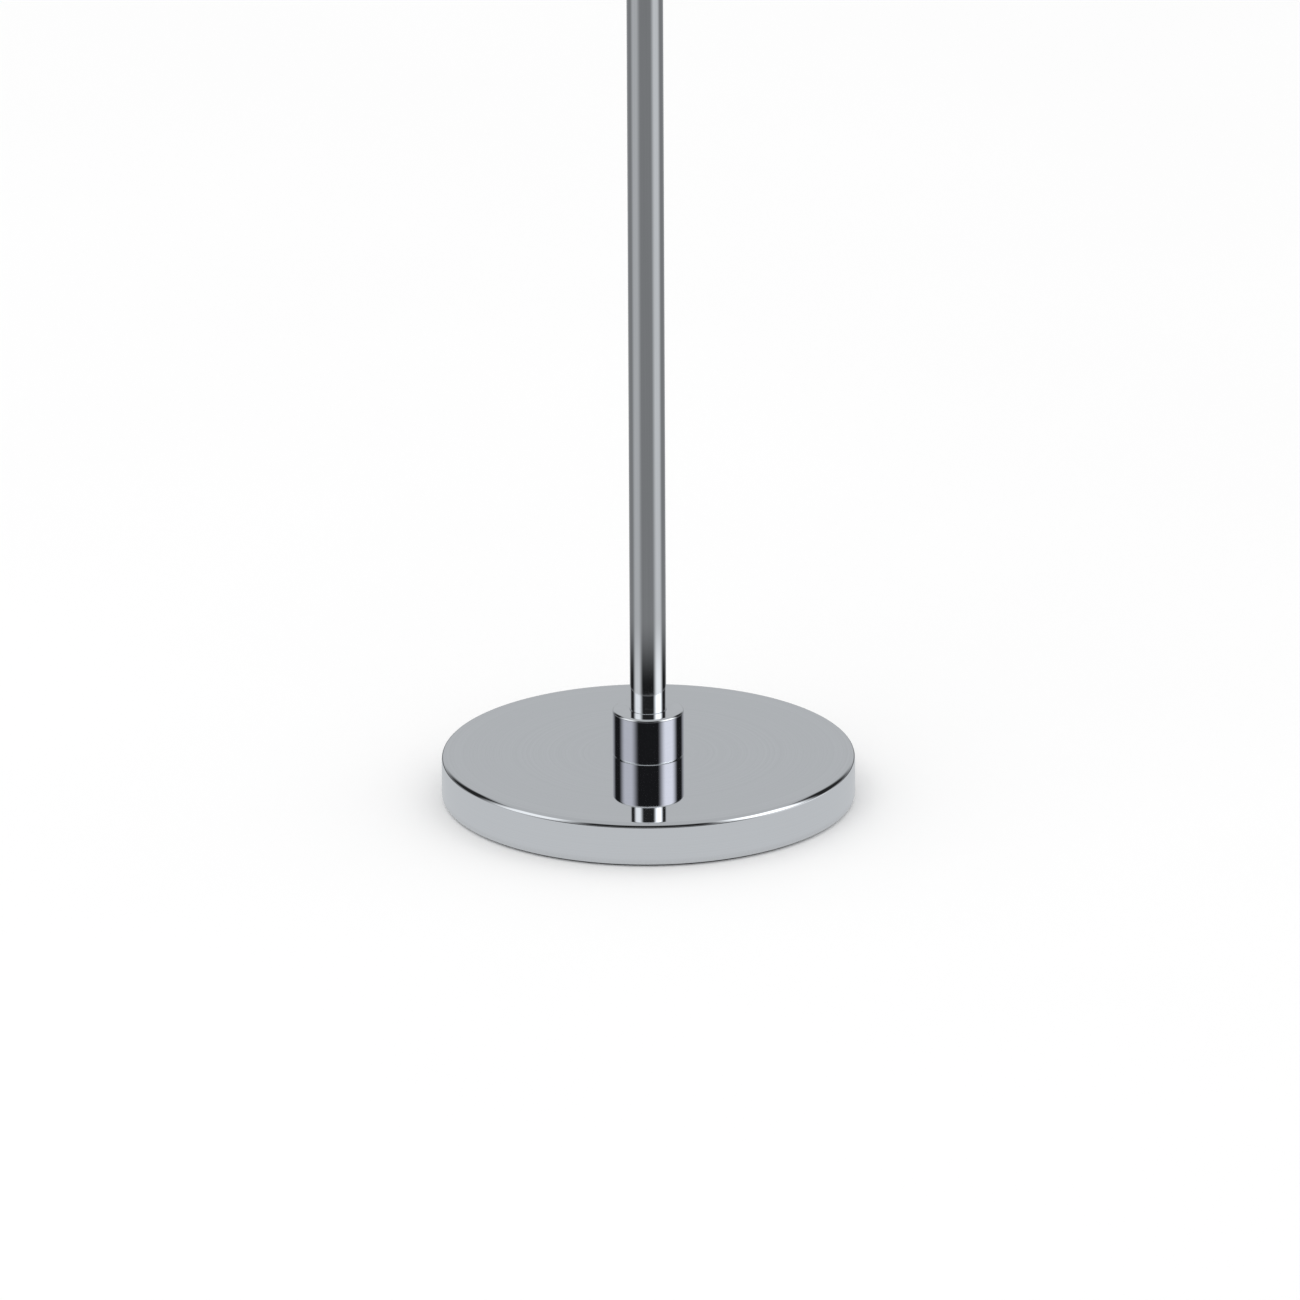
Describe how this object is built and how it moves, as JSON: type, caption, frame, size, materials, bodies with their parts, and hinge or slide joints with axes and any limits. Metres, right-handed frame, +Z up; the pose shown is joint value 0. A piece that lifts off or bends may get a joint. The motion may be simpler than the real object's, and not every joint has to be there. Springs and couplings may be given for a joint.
{
  "type": "iv drip stand",
  "caption": "Free-standing infusion stand: heavy round chrome base with a collar, fixed pole, telescopic mast held by a screw clamp, and a turning head of bag hooks.",
  "frame": {"origin": "on the floor, at the centre of the base, on the pole's axis", "axes": "+Z up along the pole; -Y is the front, where the clamp knob faces; +X is to the right seen from the front"},
  "size_m": [0.29, 0.29, 1.4832],
  "materials": {
    "base_chrome": "mirror-polished bright chrome on a steel pressing",
    "tube_chrome": "bright chrome on drawn steel tube",
    "turned_chrome": "bright chrome on turned steel",
    "clamp_chrome": "bright chrome on a zinc casting",
    "hook_chrome": "bright chrome on bent steel rod",
    "base_iron": "sand-cast grey iron, painted dark against rust",
    "mat_rubber": "matt black rubber sheet",
    "zinc_steel": "bright zinc plate on steel",
    "spring_steel": "phosphated spring steel",
    "black_steel": "black oxide on steel",
    "bush_nylon": "black moulded nylon",
    "shoe_brass": "turned brass",
    "knob_plastic": "black moulded thermoset with a fine satin texture",
    "cap_plastic": "grey gloss moulding"
  },
  "bodies": {
    "stand": {"base_cover": "base_chrome", "base_weight": "base_iron", "base_pad": "mat_rubber", "base_flat_washer": "zinc_steel", "base_spring_washer": "spring_steel", "base_bolt": "zinc_steel", "pole_foot_plug": "zinc_steel", "pole_collar": "turned_chrome", "collar_grub_screw": "black_steel", "outer_tube": "tube_chrome", "clamp_body": "clamp_chrome", "clamp_grub_screw": "black_steel", "guide_bush": "bush_nylon"},
    "slider": {"slider_bush": "bush_nylon"},
    "mast": {"inner_tube": "tube_chrome", "mast_end_plug": "zinc_steel", "mast_retaining_ring": "spring_steel", "mast_top_plug": "zinc_steel", "hook_hub": "turned_chrome", "hub_screw": "black_steel", "hub_cap": "turned_chrome", "hook_front": "hook_chrome", "hook_right": "hook_chrome", "hook_back": "hook_chrome", "hook_left": "hook_chrome", "hook_ball_tips": "hook_chrome"},
    "shoe": {"clamp_shoe": "shoe_brass"},
    "knob": {"clamp_screw": "zinc_steel", "clamp_knob": "knob_plastic", "clamp_knob_cap": "cap_plastic"}
  },
  "joints": [
    {"name": "mast_slide", "type": "slide", "parent": "stand", "child": "slider", "axis": [0, 0, 1], "range_m": [-0.2, 0.6]},
    {"name": "mast_turn", "type": "hinge", "parent": "slider", "child": "mast", "pos_m": [0, 0, 1.2], "axis": [0, 0, 1], "continuous": true},
    {"name": "clamp_travel", "type": "slide", "parent": "stand", "child": "shoe", "axis": [0, -1, 0], "range_m": [0, 0.0026]},
    {"name": "clamp_turn", "type": "hinge", "parent": "shoe", "child": "knob", "pos_m": [0, -0.03, 1.218], "axis": [0, -1, 0], "range_deg": [0, 720]}
  ],
  "couplings": [
    {"joint": "clamp_travel", "follows": "clamp_turn", "m_per_rad": 0.00019894}
  ]
}
